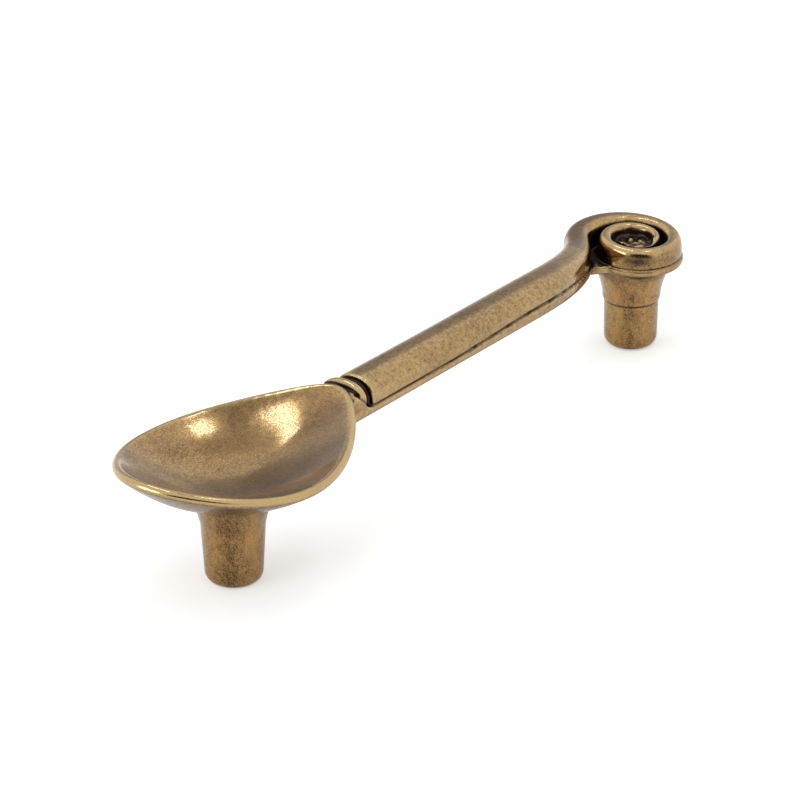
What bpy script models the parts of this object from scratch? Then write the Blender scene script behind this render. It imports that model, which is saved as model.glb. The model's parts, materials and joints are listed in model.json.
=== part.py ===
# Spoon-shaped cabinet handle: one casting, a bowl and a scrolled stem on two posts.
import math

import bmesh
import bpy
from mathutils import Vector

MM = 0.001

# Posts, with a blind tapped hole up each
HOLE_SPACING = 128 * MM
FOOT_RADIUS = 5.45 * MM
FOOT_ROUNDING = 2.0 * MM
POST_DRAFT = 0.06
COLLAR_HEIGHT = 10.6 * MM
COLLAR_STEP = 0.15 * MM
POST_FLARE = 1.6 * MM
POST_FLARE_HEIGHT = 6.5 * MM
HOLE_RADIUS = 1.65 * MM
HOLE_DEPTH = 12.0 * MM
HOLE_CHAMFER = 0.5 * MM

# Bowl: a pointed oval, deepest over its post
BOWL_CENTRE = 3.2 * MM
BOWL_HALF_LENGTH = 27.4 * MM
BOWL_HALF_WIDTH = 16.3 * MM
BOWL_TIP_FULLNESS = 0.21
BOWL_END_FULLNESS = 0.15
BOWL_DEPTH = 6.0 * MM
BOWL_FLOOR = 2.4 * MM
BOWL_CURVE = 2.1
RIM_HEIGHT = 23.8 * MM
RIM_TIP_LIFT = 4.8 * MM
RIM_NECK_LIFT = 2.7 * MM
RIM_RADIUS = 0.9 * MM

# Stem: a half-round crown on a rounded keel, with a groove along each side
STEM_TOP = 27.0 * MM
STEM_NECK_RISE = 0.5 * MM
STEM_WIDTH = 9.4 * MM
STEM_CROWN = 4.3 * MM
STEM_KEEL = 2.5 * MM
CROWN_SQUARENESS = 2.5
GROOVE_DEPTH = 0.5 * MM
GROOVE_HEIGHT = 0.5 * MM
GROOVE_RISE = 0.9 * MM
GROOVE_RISE_LENGTH = 30.0 * MM
KEEL_ROUNDING = 1.6 * MM
KEEL_LEDGE = 0.15 * MM
KEEL_UNDER_BOWL = 12.2 * MM
KEEL_THINNEST = 0.7 * MM

# Neck: a bead between two cuts in the crown, and the keel's edge climbing to the bowl's rim
NECK_CLEARANCE = 0.6 * MM
NECK_START = BOWL_CENTRE + BOWL_HALF_LENGTH + NECK_CLEARANCE
NECK_CLIMB = 3.9 * MM
NECK_CLIMB_SLOPE = 1.0
BOWL_SIDE_CUT = 1.0 * MM
NECK_BEAD = 2.1 * MM
BEAD_RISE = 0.15 * MM
BEAD_ROUNDING = 0.5 * MM
STEM_SIDE_CUT = 1.7 * MM
NECK_CUT_DEPTH = 1.2 * MM
SHOULDER_ROUNDING = 0.3 * MM

# Scroll: radii of its outer edge at each quarter turn, clockwise from the back
SCROLL_RADII = [13.4 * MM, 11.15 * MM, 10.0 * MM, 8.15 * MM, 7.15 * MM, 6.75 * MM, 5.6 * MM, 4.2 * MM]
SCROLL_START = 50
SCROLL_END = 760
SCROLL_TOP = 24.9 * MM
SCROLL_CROWN = 4.7 * MM
SCROLL_KEEL = 2.1 * MM
SCROLL_KEEL_ROUNDING = 0.9 * MM
SCROLL_LEDGE = 0.35 * MM
SCROLL_SQUARENESS = 3.6
CURL_SQUARENESS = 2.8
CURL_START = 150
CURL_EASE = 150
SCROLL_GAP = 0.2 * MM
SCROLL_MOUTH = 0.6 * MM
SCROLL_FALL = 0.2 * MM
SCROLL_LEAN = 0.055
EYE_RADIUS = 3.5 * MM
EYE_EASE = 40
EYE_DEPTH = 2.7 * MM
RIDGE_START = 605
RIDGE_EASE = 40
RIDGE_WIDTH = 0.7 * MM
RIDGE_DROP = 0.6 * MM
WEB_THICKNESS = 1.6 * MM
WEB_END = 345
TURN_START = 90.0 * MM
TURN_EASE_OUTSIDE = (12.0 * MM, 9.0 * MM)
TURN_EASE_INSIDE = (18.0 * MM, 6.0 * MM)

RIM_STEPS = 60
POST_STEPS = 40
TURN_STEPS = 14
SCROLL_STEPS = 70
WEB_STEPS = 30
CAST_COLOUR = (0.33, 0.22, 0.09, 1.0)


def blend(t):
    t = min(max(t, 0.0), 1.0)
    return t * t * (3 - 2 * t)


def mix(a, b, t):
    return a + (b - a) * t


def clear_scene():
    for obj in list(bpy.data.objects):
        bpy.data.objects.remove(obj)


def make_collection(name):
    collection = bpy.data.collections.new(name)
    bpy.context.scene.collection.children.link(collection)
    return collection


def loft(name, rings, collection):
    # Skins equal rings of points and closes both ends
    bm = bmesh.new()
    rows = [[bm.verts.new(point) for point in ring] for ring in rings]
    count = len(rows[0])
    for lower, upper in zip(rows, rows[1:]):
        for i in range(count):
            j = (i + 1) % count
            bm.faces.new((lower[i], lower[j], upper[j], upper[i]))
    bm.faces.new(rows[0])
    bm.faces.new(rows[-1])
    bmesh.ops.recalc_face_normals(bm, faces=bm.faces)
    mesh = bpy.data.meshes.new(name)
    bm.to_mesh(mesh)
    bm.free()
    obj = bpy.data.objects.new(name, mesh)
    collection.objects.link(obj)
    return obj


def turned(name, profile, x, collection):
    # Turns a profile of (radius, height) pairs about the post's axis
    bm = bmesh.new()
    corners = [bm.verts.new((radius, 0, height)) for radius, height in profile]
    for a, b in zip(corners, corners[1:]):
        bm.edges.new((a, b))
    mesh = bpy.data.meshes.new(name)
    bm.to_mesh(mesh)
    bm.free()
    obj = bpy.data.objects.new(name, mesh)
    obj.location.x = x
    collection.objects.link(obj)
    screw = obj.modifiers.new("Turn", "SCREW")
    screw.steps = POST_STEPS
    screw.render_steps = POST_STEPS
    screw.use_merge_vertices = True
    screw.merge_threshold = 0.01 * MM
    return obj


# Bowl

def rim_point(turn):
    # Turn 0 is the bowl's tip, and half a turn is its neck
    along = -math.cos(turn)
    fullness = 1 + BOWL_TIP_FULLNESS * math.cos(turn) - BOWL_END_FULLNESS * math.cos(2 * turn)
    lift = RIM_TIP_LIFT if along < 0 else RIM_NECK_LIFT
    x = BOWL_CENTRE + BOWL_HALF_LENGTH * along
    y = BOWL_HALF_WIDTH * math.sin(turn) * fullness
    return Vector((x, y, RIM_HEIGHT + lift * along * along))


def bowl_point(reach, turn):
    # Middle of the wall, from the floor at reach 0 to the rim at reach 1
    rim = rim_point(turn)
    floor = RIM_HEIGHT - BOWL_DEPTH
    height = mix(floor, rim.z, reach ** BOWL_CURVE)
    return Vector((rim.x * reach, rim.y * reach, height))


def bowl_frame(reach, turn):
    # Directions up out of the wall and outward along it
    step = 0.001
    along = bowl_point(reach, turn + step) - bowl_point(reach, turn - step)
    out = bowl_point(reach + step, turn) - bowl_point(reach - step, turn)
    up = out.cross(along).normalized()
    if up.z < 0:
        up = -up
    outward = along.cross(up).normalized()
    if outward.dot(out) < 0:
        outward = -outward
    return up, outward


def bowl_rings():
    reaches = [0.06, 0.2, 0.35, 0.5, 0.65, 0.78, 0.9]
    turns = [2 * math.pi * i / RIM_STEPS for i in range(RIM_STEPS)]
    inside = []
    outside = []
    for reach in reaches:
        half = mix(BOWL_FLOOR / 2, RIM_RADIUS, reach)
        inside.append([bowl_point(reach, t) + bowl_frame(reach, t)[0] * half for t in turns])
        outside.append([bowl_point(reach, t) - bowl_frame(reach, t)[0] * half for t in turns])
    edge = []
    for step in range(7):
        angle = math.pi * step / 6
        ring = []
        for t in turns:
            up, outward = bowl_frame(1.0, t)
            ring.append(rim_point(t) + (up * math.cos(angle) + outward * math.sin(angle)) * RIM_RADIUS)
        edge.append(ring)
    return inside + edge + outside[::-1]


# Stem and scroll

def section(left, right, top, crown, keel, rounding=KEEL_ROUNDING, ledge=KEEL_LEDGE,
            cut=0.0, squareness=CROWN_SQUARENESS):
    # Half-round crown over a keel, between two points of the plan
    half = (left - right).length / 2
    middle = (left + right) / 2
    side = (left - right).normalized()
    base = top - crown
    notch = min(GROOVE_DEPTH, half * 0.3)
    corner = min(rounding, half * 0.6, (keel - GROOVE_HEIGHT) * 0.9)
    high = max(crown - cut, 0.05 * MM)
    wide = half - min(max(cut, ledge), half * 0.3)
    power = 2 / squareness
    outline = []
    for i in range(13):
        angle = math.pi * i / 12
        c, s = math.cos(angle), math.sin(angle)
        outline.append((math.copysign(abs(c) ** power, c) * wide, base + high * abs(s) ** power))
    edge = [(half - max(notch, cut + 0.1 * MM), base - GROOVE_HEIGHT / 2), (half, base - GROOVE_HEIGHT)]
    for i in range(3):
        angle = math.pi / 4 * i
        edge.append((half - corner * (1 - math.cos(angle)), base - keel + corner * (1 - math.sin(angle))))
    outline += [(-u, v) for u, v in edge]
    outline.append((0, base - keel))
    outline += edge[::-1]
    return [Vector((middle.x + side.x * u, middle.y + side.y * u, v)) for u, v in outline]


def outer_radius(angle):
    # Smooth through the quarter-turn radii; the last step repeats past the end
    place = angle / 90 - 1
    radii = SCROLL_RADII
    start = 2 * radii[0] - radii[1]
    step = radii[-1] - radii[-2]
    known = [start] + radii + [radii[-1] + step * (i + 1) for i in range(6)]
    i = int(math.floor(place)) + 1
    t = place + 1 - i
    p0, p1, p2, p3 = known[max(i - 1, 0)], known[i], known[i + 1], known[i + 2]
    m1, m2 = (p2 - p0) / 2, (p3 - p1) / 2
    return (p1 * (2 * t ** 3 - 3 * t ** 2 + 1) + m1 * (t ** 3 - 2 * t ** 2 + t)
            + p2 * (3 * t ** 2 - 2 * t ** 3) + m2 * (t ** 3 - t ** 2))


def inner_radius(angle):
    # Each turn nests round the next, and the last is the eye's wall, which thins to a ridge
    mouth = SCROLL_MOUTH * blend(2 - angle / SCROLL_START)
    nested = outer_radius(angle + 360) + SCROLL_GAP + mouth
    eye = mix(EYE_RADIUS, outer_radius(angle) - RIDGE_WIDTH, blend((angle - RIDGE_START) / RIDGE_EASE))
    return mix(nested, eye, blend((angle + 360 - SCROLL_END) / EYE_EASE + 0.5))


def scroll_point(angle, radius):
    turn = math.radians(angle)
    return Vector((HOLE_SPACING - radius * math.cos(turn), radius * math.sin(turn)))


def bezier(points, t):
    while len(points) > 1:
        points = [a.lerp(b, t) for a, b in zip(points, points[1:])]
    return points[0]


def turn_edge(side, end, angle, ease):
    # Controls of the curve from the straight stem into the scroll
    start = Vector((TURN_START, side * STEM_WIDTH / 2))
    turn = math.radians(angle)
    heading = Vector((math.sin(turn), math.cos(turn)))
    return [start, start + Vector((ease[0], 0)), end - heading * ease[1], end]


def turn_edges():
    outer_end = scroll_point(SCROLL_START, outer_radius(SCROLL_START))
    inner_end = scroll_point(SCROLL_START, inner_radius(SCROLL_START))
    outer = turn_edge(1, outer_end, SCROLL_START, TURN_EASE_OUTSIDE)
    inner = turn_edge(-1, inner_end, SCROLL_START, TURN_EASE_INSIDE)
    return outer, inner


def scroll_drop(angle):
    # The scroll's top falls a little, leans to the front, and drops at the ridge in its eye
    def across(place):
        return scroll_point(place, (outer_radius(place) + inner_radius(place)) / 2).y
    fall = SCROLL_FALL * blend((angle - SCROLL_START) / 90)
    lean = SCROLL_LEAN * (across(SCROLL_START) - across(angle))
    return fall + lean + RIDGE_DROP * blend((angle - RIDGE_START) / RIDGE_EASE)


def neck_cut(x):
    # How far the crown stands back at x, from two cuts round a bead
    first_end = NECK_START + BOWL_SIDE_CUT
    bead_end = first_end + NECK_BEAD
    shoulder = bead_end + STEM_SIDE_CUT
    if x < first_end or bead_end < x < shoulder:
        return NECK_CUT_DEPTH
    if x <= bead_end:
        middle = abs(x - (first_end + bead_end) / 2) / (NECK_BEAD / 2)
        return BEAD_ROUNDING * middle ** 2 - BEAD_RISE
    near = (x - shoulder) / SHOULDER_ROUNDING
    return SHOULDER_ROUNDING * max(0.0, 1 - near) ** 2


def neck_climb(x):
    # The keel's edge climbs at the neck, and closes the ends of the bead and its cuts
    return NECK_CLIMB_SLOPE * max(0.0, NECK_START + NECK_CLIMB - x)


def stem_heights(x):
    # Top, crown and keel: the stem is highest at the neck, and its groove climbs to the turn
    rise = STEM_NECK_RISE * min(1.0, (TURN_START - x) / (TURN_START - NECK_START))
    groove = GROOVE_RISE * blend((x - TURN_START) / GROOVE_RISE_LENGTH + 1) + neck_climb(x)
    return STEM_TOP + rise, STEM_CROWN + rise - groove, STEM_KEEL + groove


def stem_rings():
    rings = []
    half = STEM_WIDTH / 2
    sliver = 0.02 * MM
    for i in range(4):
        # Under the bowl the keel alone goes on, up to the middle of the bowl's wall
        x = NECK_START - mix(KEEL_UNDER_BOWL, NECK_CLEARANCE + 0.2 * MM, i / 3)
        wall = bowl_point(x / (BOWL_CENTRE + BOWL_HALF_LENGTH), math.pi).z
        keel = max(wall - sliver - (STEM_TOP - STEM_CROWN - STEM_KEEL), KEEL_THINNEST)
        rings.append(section(Vector((x, half)), Vector((x, -half)), wall, sliver, keel))
    first_end = NECK_START + BOWL_SIDE_CUT
    bead_end = first_end + NECK_BEAD
    shoulder = bead_end + STEM_SIDE_CUT
    stations = [NECK_START, first_end - sliver, first_end]
    stations += [mix(first_end, bead_end, i / 4) for i in range(1, 5)]
    stations += [bead_end + sliver, shoulder - sliver, shoulder]
    stations += [shoulder + SHOULDER_ROUNDING * i / 2 for i in range(1, 3)]
    stations += [mix(shoulder + SHOULDER_ROUNDING, TURN_START, i / 8) for i in range(1, 8)]
    for x in stations:
        top, crown, keel = stem_heights(x)
        rings.append(section(Vector((x, half)), Vector((x, -half)), top, crown, keel, cut=neck_cut(x)))
    outer, inner = turn_edges()
    for i in range(TURN_STEPS):
        t = i / TURN_STEPS
        fall = blend(t)
        rings.append(section(bezier(outer, t), bezier(inner, t),
                             mix(STEM_TOP, SCROLL_TOP, fall),
                             mix(STEM_CROWN - GROOVE_RISE, SCROLL_CROWN, fall),
                             mix(STEM_KEEL + GROOVE_RISE, SCROLL_KEEL, fall),
                             mix(KEEL_ROUNDING, SCROLL_KEEL_ROUNDING, fall),
                             mix(KEEL_LEDGE, SCROLL_LEDGE, fall),
                             squareness=mix(CROWN_SQUARENESS, SCROLL_SQUARENESS, fall)))
    for i in range(SCROLL_STEPS + 1):
        angle = mix(SCROLL_START, SCROLL_END, i / SCROLL_STEPS)
        outer_edge = scroll_point(angle, outer_radius(angle))
        inner_edge = scroll_point(angle, inner_radius(angle))
        drop = scroll_drop(angle)
        squareness = mix(SCROLL_SQUARENESS, CURL_SQUARENESS, blend((angle - CURL_START) / CURL_EASE))
        rings.append(section(outer_edge, inner_edge, SCROLL_TOP - drop, SCROLL_CROWN - drop, SCROLL_KEEL,
                             SCROLL_KEEL_ROUNDING, SCROLL_LEDGE, squareness=squareness))
    return rings


# Posts

def post_radius(height):
    return FOOT_RADIUS + POST_DRAFT * max(height - FOOT_ROUNDING, 0)


def post_profile(top, flare_base, collar):
    # Down the outside from the top of the flare to the rounded foot
    outline = []
    for i in range(4):
        height = mix(top, flare_base, i / 3)
        outline.append((post_radius(height) + POST_FLARE * (1 - i / 3) ** 1.5, height))
    if collar:
        radius = post_radius(COLLAR_HEIGHT)
        outline.append((radius, COLLAR_HEIGHT))
        outline.append((radius - COLLAR_STEP, COLLAR_HEIGHT - COLLAR_STEP))
    for i in range(6):
        angle = math.pi / 2 * i / 5
        radius = FOOT_RADIUS - FOOT_ROUNDING * (1 - math.cos(angle))
        outline.append((radius, FOOT_ROUNDING * (1 - math.sin(angle))))
    outline.append((0, 0))
    return outline


def bowl_post_profile():
    top = RIM_HEIGHT - BOWL_DEPTH
    return [(0, top)] + post_profile(top, top - POST_FLARE_HEIGHT, False)


def scroll_post_profile():
    # The post runs up into the scroll and ends as the floor of its eye
    bottom = SCROLL_TOP - SCROLL_CROWN - SCROLL_KEEL + 0.1 * MM
    floor = SCROLL_TOP - EYE_DEPTH
    core = outer_radius(RIDGE_START) - RIDGE_WIDTH
    eye = [(0, floor), (core, floor), (core, bottom)]
    return eye + post_profile(bottom, bottom - POST_FLARE_HEIGHT, True)


def web_rings():
    # A flat floor to the scroll's groove, out to the middle of its first turn
    outer, inner = turn_edges()
    outline = [(bezier(outer, t) + bezier(inner, t)) / 2 for t in (0.7, 0.8, 0.9)]
    for i in range(WEB_STEPS + 1):
        angle = mix(SCROLL_START, WEB_END, i / WEB_STEPS)
        outline.append(scroll_point(angle, (outer_radius(angle) + inner_radius(angle)) / 2))
    bottom = SCROLL_TOP - SCROLL_CROWN - SCROLL_KEEL + 0.1 * MM
    return [[Vector((p.x, p.y, height)) for p in outline] for height in (bottom, bottom + WEB_THICKNESS)]


def hole_profile():
    mouth = HOLE_RADIUS + HOLE_CHAMFER
    return [(0, HOLE_DEPTH + HOLE_RADIUS * 0.6), (HOLE_RADIUS, HOLE_DEPTH), (HOLE_RADIUS, HOLE_CHAMFER),
            (mouth, 0), (mouth, -HOLE_CHAMFER), (0, -HOLE_CHAMFER)]


def combine(target, tool, operation):
    step = target.modifiers.new(tool.name, "BOOLEAN")
    step.object = tool
    step.operation = operation
    step.solver = "EXACT"
    tool.hide_render = True
    tool.display_type = "WIRE"


def cast_material():
    material = bpy.data.materials.new("antique_brass")
    material.use_nodes = True
    shader = material.node_tree.nodes["Principled BSDF"]
    shader.inputs["Base Color"].default_value = CAST_COLOUR
    shader.inputs["Metallic"].default_value = 1.0
    shader.inputs["Roughness"].default_value = 0.38
    return material


def middle_of(pull):
    # Point of the base plane under the middle of the casting
    bpy.context.view_layer.update()
    evaluated = pull.evaluated_get(bpy.context.evaluated_depsgraph_get())
    corners = [pull.matrix_world @ v.co for v in evaluated.to_mesh().vertices]
    xs = [c.x for c in corners]
    ys = [c.y for c in corners]
    return Vector(((min(xs) + max(xs)) / 2, (min(ys) + max(ys)) / 2, 0))


def build():
    clear_scene()
    parts = make_collection("Spoon pull")
    forms = make_collection("Forms and cutters")
    pull = loft("spoon_pull", stem_rings(), parts)
    bowl = loft("bowl_form", bowl_rings(), forms)
    bowl_post = turned("bowl_post", bowl_post_profile(), 0, forms)
    scroll_post = turned("scroll_post", scroll_post_profile(), HOLE_SPACING, forms)
    combine(bowl_post, turned("bowl_hole", hole_profile(), 0, forms), "DIFFERENCE")
    combine(scroll_post, turned("scroll_hole", hole_profile(), HOLE_SPACING, forms), "DIFFERENCE")
    web = loft("scroll_web", web_rings(), forms)
    for form in (bowl, bowl_post, web, scroll_post):
        combine(pull, form, "UNION")
    pull.data.materials.append(cast_material())
    shift = middle_of(pull)
    for obj in list(parts.objects) + list(forms.objects):
        obj.location -= shift
    pull.data.shade_smooth()


build()
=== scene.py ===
# Spoon-shaped cabinet pull in antique brass: its fine surface, finish, light and camera
import json
import math

import bmesh
import bpy
import numpy as np
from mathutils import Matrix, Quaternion, Vector, noise
from mathutils.bvhtree import BVHTree


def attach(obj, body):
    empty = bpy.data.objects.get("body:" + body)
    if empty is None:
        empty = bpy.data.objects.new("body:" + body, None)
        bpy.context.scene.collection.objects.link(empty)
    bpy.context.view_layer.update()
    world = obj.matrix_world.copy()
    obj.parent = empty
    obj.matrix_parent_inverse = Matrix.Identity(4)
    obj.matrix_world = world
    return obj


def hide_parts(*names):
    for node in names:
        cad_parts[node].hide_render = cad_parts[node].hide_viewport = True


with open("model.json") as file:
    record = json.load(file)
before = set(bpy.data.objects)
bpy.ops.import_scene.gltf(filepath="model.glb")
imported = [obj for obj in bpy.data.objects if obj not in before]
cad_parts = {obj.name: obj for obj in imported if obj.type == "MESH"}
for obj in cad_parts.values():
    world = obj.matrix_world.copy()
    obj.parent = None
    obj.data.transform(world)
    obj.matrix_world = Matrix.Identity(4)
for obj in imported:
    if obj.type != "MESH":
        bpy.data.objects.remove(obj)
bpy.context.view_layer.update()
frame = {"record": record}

mm = 0.001
footX = {mount["name"]: mount["pos_m"][0] / mm for mount in frame["record"]["mounts"]}
print("frame loaded, feet at", footX)


# Small helpers

def ease(t):
    t = min(max(t, 0.0), 1.0)
    return t * t * (3 - 2 * t)


def between(a, b, t):
    return a + (b - a) * t


def skin(rings):
    # Quads between equal rings of points, with both end rings capped
    count = len(rings[0])
    points = [point for ring in rings for point in ring]
    faces = []
    for row in range(len(rings) - 1):
        a = row * count
        for i in range(count):
            j = (i + 1) % count
            faces.append((a + i, a + j, a + count + j, a + count + i))
    faces.append(tuple(range(count)))
    faces.append(tuple(range(len(points) - count, len(points))))
    return points, faces


def turn(profile, x, steps):
    # Turns a profile of (radius, height) about a post's axis; it starts and ends on the axis
    pin = 0.001  # the axis is a very thin ring
    rings = []
    for radius, height in profile:
        radius = max(radius, pin)
        ring = []
        for i in range(steps):
            angle = 2 * math.pi * i / steps
            ring.append(Vector((x + radius * math.cos(angle), radius * math.sin(angle), height)))
        rings.append(ring)
    return skin(rings)


# Bowl

bowl = {  # lengths in mm, x from the near post's axis
    "centre": 3.2,
    "halfLength": 27.4,
    "halfWidth": 16.3,
    "tipFullness": 0.21,  # wider towards the tip
    "endFullness": 0.15,  # fuller than an ellipse
    "depth": 6.0,
    "floorThick": 2.4,
    "curve": 2.1,  # power of the dish: 2 is a parabola
    "rimHeight": 23.8,
    "tipLift": 4.8,
    "neckLift": 2.7,
    "rimRadius": 0.9,
    "innermost": 0.02,  # first and last rings of the wall, as shares of the way to the rim
    "outermost": 0.97,
    "around": 300,
    "across": 36,
    "rollSteps": 12,
}


def rimPoint(angle):
    along = -math.cos(angle)
    fullness = 1 + bowl["tipFullness"] * math.cos(angle) - bowl["endFullness"] * math.cos(2 * angle)
    lift = bowl["tipLift"] if along < 0 else bowl["neckLift"]
    x = bowl["centre"] + bowl["halfLength"] * along
    y = bowl["halfWidth"] * math.sin(angle) * fullness
    return Vector((x, y, bowl["rimHeight"] + lift * along * along))


def bowlPoint(reach, angle):
    rim = rimPoint(angle)
    floor = bowl["rimHeight"] - bowl["depth"]
    return Vector((rim.x * reach, rim.y * reach, between(floor, rim.z, reach ** bowl["curve"])))


def bowlWall(reach, angle):
    # Directions up out of the bowl's wall and outward along it
    step = 0.001
    along = bowlPoint(reach, angle + step) - bowlPoint(reach, angle - step)
    out = bowlPoint(reach + step, angle) - bowlPoint(reach - step, angle)
    up = out.cross(along).normalized()
    if up.z < 0:
        up = -up
    outward = along.cross(up).normalized()
    if outward.dot(out) < 0:
        outward = -outward
    return up, outward


def bowlForm():
    angles = [2 * math.pi * i / bowl["around"] for i in range(bowl["around"])]
    reaches = [between(bowl["innermost"], bowl["outermost"], i / bowl["across"])
               for i in range(bowl["across"] + 1)]
    inside = []
    outside = []
    for reach in reaches:
        half = between(bowl["floorThick"] / 2, bowl["rimRadius"], reach)
        ups = [bowlWall(reach, a)[0] * half for a in angles]
        middle = [bowlPoint(reach, a) for a in angles]
        inside.append([p + up for p, up in zip(middle, ups)])
        outside.append([p - up for p, up in zip(middle, ups)])
    edge = []
    for step in range(bowl["rollSteps"] + 1):
        roll = math.pi * step / bowl["rollSteps"]
        ring = []
        for a in angles:
            up, outward = bowlWall(1.0, a)
            ring.append(rimPoint(a) + (up * math.cos(roll) + outward * math.sin(roll)) * bowl["rimRadius"])
        edge.append(ring)
    return skin(inside + edge + outside[::-1])


# Stem, neck and scroll

stem = {  # mm
    "top": 27.0,
    "neckRise": 0.5,
    "width": 9.4,
    "crown": 4.3,
    "keel": 2.5,
    "squareness": 2.5,  # power of the crown's arch: 2 is round
    "grooveDepth": 0.8,
    "grooveHeight": 0.68,
    "grooveRise": 0.9,
    "grooveRiseLength": 30.0,
    "keelRounding": 1.6,
    "ledge": 0.15,
    "underBowl": 12.2,  # the keel's reach under the bowl
    "underEnd": 0.8,
    "keelThinnest": 0.7,
    "neckStart": 31.2,
    "climb": 3.9,
    "bowlSideCut": 1.0,
    "bead": 2.1,
    "beadRise": 0.15,
    "beadRounding": 0.5,
    "stemSideCut": 1.7,
    "cutDepth": 1.2,
    "cutInset": 0.1,
    "shoulderRounding": 0.3,
    "turnStart": 90.0,
    "sideShare": 0.3,  # the most of a section's half width that a groove, cut or ledge takes
    "cornerShare": 0.6,  # the most of it that a keel's corner takes
    "cornerHeight": 0.9,  # the most of the keel's side that a corner takes
    "crownThinnest": 0.05,
    "crownSteps": 32,
    "cornerSteps": 6,
    "underRings": 12,
    "beadRings": 10,
    "shoulderRings": 4,
    "stemRings": 40,
    "turnRings": 50,
    "sliver": 0.02,  # the steepness of a cut's sides
}
scroll = {  # mm and degrees; angles run clockwise from the side that faces the bowl
    "spacing": round(footX["scroll_foot"] - footX["bowl_foot"], 3),
    "radii": [13.4, 11.15, 10.0, 8.15, 7.15, 6.75, 5.6, 4.2],  # outer edge at each quarter turn
    "start": 50,
    "end": 760,
    "top": 24.9,
    "crown": 4.7,
    "keel": 2.1,
    "keelRounding": 0.9,
    "ledge": 0.35,
    "squareness": 3.6,
    "curlSquareness": 2.8,
    "curlStart": 150,
    "curlEase": 150,
    "gap": 0.2,
    "mouth": 0.6,
    "fall": 0.2,
    "fallEase": 90,
    "lean": 0.055,
    "eyeRadius": 3.5,
    "eyeEase": 40,
    "eyeDepth": 2.7,
    "ridgeStart": 605,
    "ridgeEase": 40,
    "ridgeWidth": 0.7,
    "ridgeDrop": 0.6,
    "webThick": 1.6,
    "webStart": (0.7, 0.75, 0.8, 0.85, 0.9, 0.95),  # places along the bend
    "webEnd": 345,
    "webSteps": 90,
    "overlap": 0.1,
    "easeOutside": (12.0, 9.0),
    "easeInside": (18.0, 6.0),
    "rings": 350,
}


def section(left, right, top, crown, keel, rounding, ledge, cut=0.0, squareness=stem["squareness"]):
    # Half-round crown over a keel, with a groove along each side
    half = (left - right).length / 2
    middle = (left + right) / 2
    side = (left - right).normalized()
    base = top - crown
    depth = min(stem["grooveDepth"], half * stem["sideShare"])
    corner = min(rounding, half * stem["cornerShare"], (keel - stem["grooveHeight"]) * stem["cornerHeight"])
    wide = half - min(max(cut, ledge), half * stem["sideShare"])
    high = max(crown - cut, stem["crownThinnest"])
    power = 2 / squareness
    outline = []
    for i in range(stem["crownSteps"] + 1):
        angle = math.pi * i / stem["crownSteps"]
        c, s = math.cos(angle), math.sin(angle)
        outline.append((math.copysign(abs(c) ** power, c) * wide, base + high * abs(s) ** power))
    inset = max(depth, cut + stem["cutInset"])
    outline.append((-half + inset, base - stem["grooveHeight"] / 2))
    outline.append((-half, base - stem["grooveHeight"]))
    keelSide = []
    for i in range(stem["cornerSteps"] + 1):
        angle = math.pi / 2 * i / stem["cornerSteps"]
        u = half - corner * (1 - math.cos(angle))
        keelSide.append((u, base - keel + corner * (1 - math.sin(angle))))
    outline += [(-u, v) for u, v in keelSide]
    outline += keelSide[::-1]
    outline.append((half, base - stem["grooveHeight"]))
    outline.append((half - inset, base - stem["grooveHeight"] / 2))
    return [Vector((middle.x + side.x * u, middle.y + side.y * u, v)) for u, v in outline]


def outerRadius(angle):
    # Smooth through the quarter-turn radii
    radii = scroll["radii"]
    step = radii[-1] - radii[-2]
    known = [2 * radii[0] - radii[1]] + radii + [radii[-1] + step * (i + 1) for i in range(6)]
    place = angle / 90
    i = int(math.floor(place))
    t = place - i
    p0, p1, p2, p3 = known[max(i - 1, 0)], known[i], known[i + 1], known[i + 2]
    m1, m2 = (p2 - p0) / 2, (p3 - p1) / 2
    return (p1 * (2 * t ** 3 - 3 * t ** 2 + 1) + m1 * (t ** 3 - 2 * t ** 2 + t)
            + p2 * (3 * t ** 2 - 2 * t ** 3) + m2 * (t ** 3 - t ** 2))


def innerRadius(angle):
    # Each turn nests round the next, and the last is the eye's wall, which thins to a ridge
    nested = outerRadius(angle + 360) + scroll["gap"] + scroll["mouth"] * ease(2 - angle / scroll["start"])
    thinned = ease((angle - scroll["ridgeStart"]) / scroll["ridgeEase"])
    eye = between(scroll["eyeRadius"], outerRadius(angle) - scroll["ridgeWidth"], thinned)
    return between(nested, eye, ease((angle + 360 - scroll["end"]) / scroll["eyeEase"] + 0.5))


def scrollPoint(angle, radius):
    # Angles run clockwise from the side that faces the bowl
    a = math.radians(angle)
    return Vector((scroll["spacing"] - radius * math.cos(a), radius * math.sin(a)))


def bezier(points, t):
    while len(points) > 1:
        points = [a.lerp(b, t) for a, b in zip(points, points[1:])]
    return points[0]


def turnEdges():
    # Both edges of the bend that carries the stem into the scroll
    edges = []
    a = math.radians(scroll["start"])
    heading = Vector((math.sin(a), math.cos(a)))
    sides = ((1, outerRadius, scroll["easeOutside"]), (-1, innerRadius, scroll["easeInside"]))
    for side, radius, eased in sides:
        start = Vector((stem["turnStart"], side * stem["width"] / 2))
        end = scrollPoint(scroll["start"], radius(scroll["start"]))
        edges.append([start, start + Vector((eased[0], 0)), end - heading * eased[1], end])
    return edges


def scrollDrop(angle):
    # The scroll's top falls a little, leans to the front, and drops at the ridge in its eye
    def across(place):
        return scrollPoint(place, (outerRadius(place) + innerRadius(place)) / 2).y
    fall = scroll["fall"] * ease((angle - scroll["start"]) / scroll["fallEase"])
    lean = scroll["lean"] * (across(scroll["start"]) - across(angle))
    return fall + lean + scroll["ridgeDrop"] * ease((angle - scroll["ridgeStart"]) / scroll["ridgeEase"])


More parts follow.
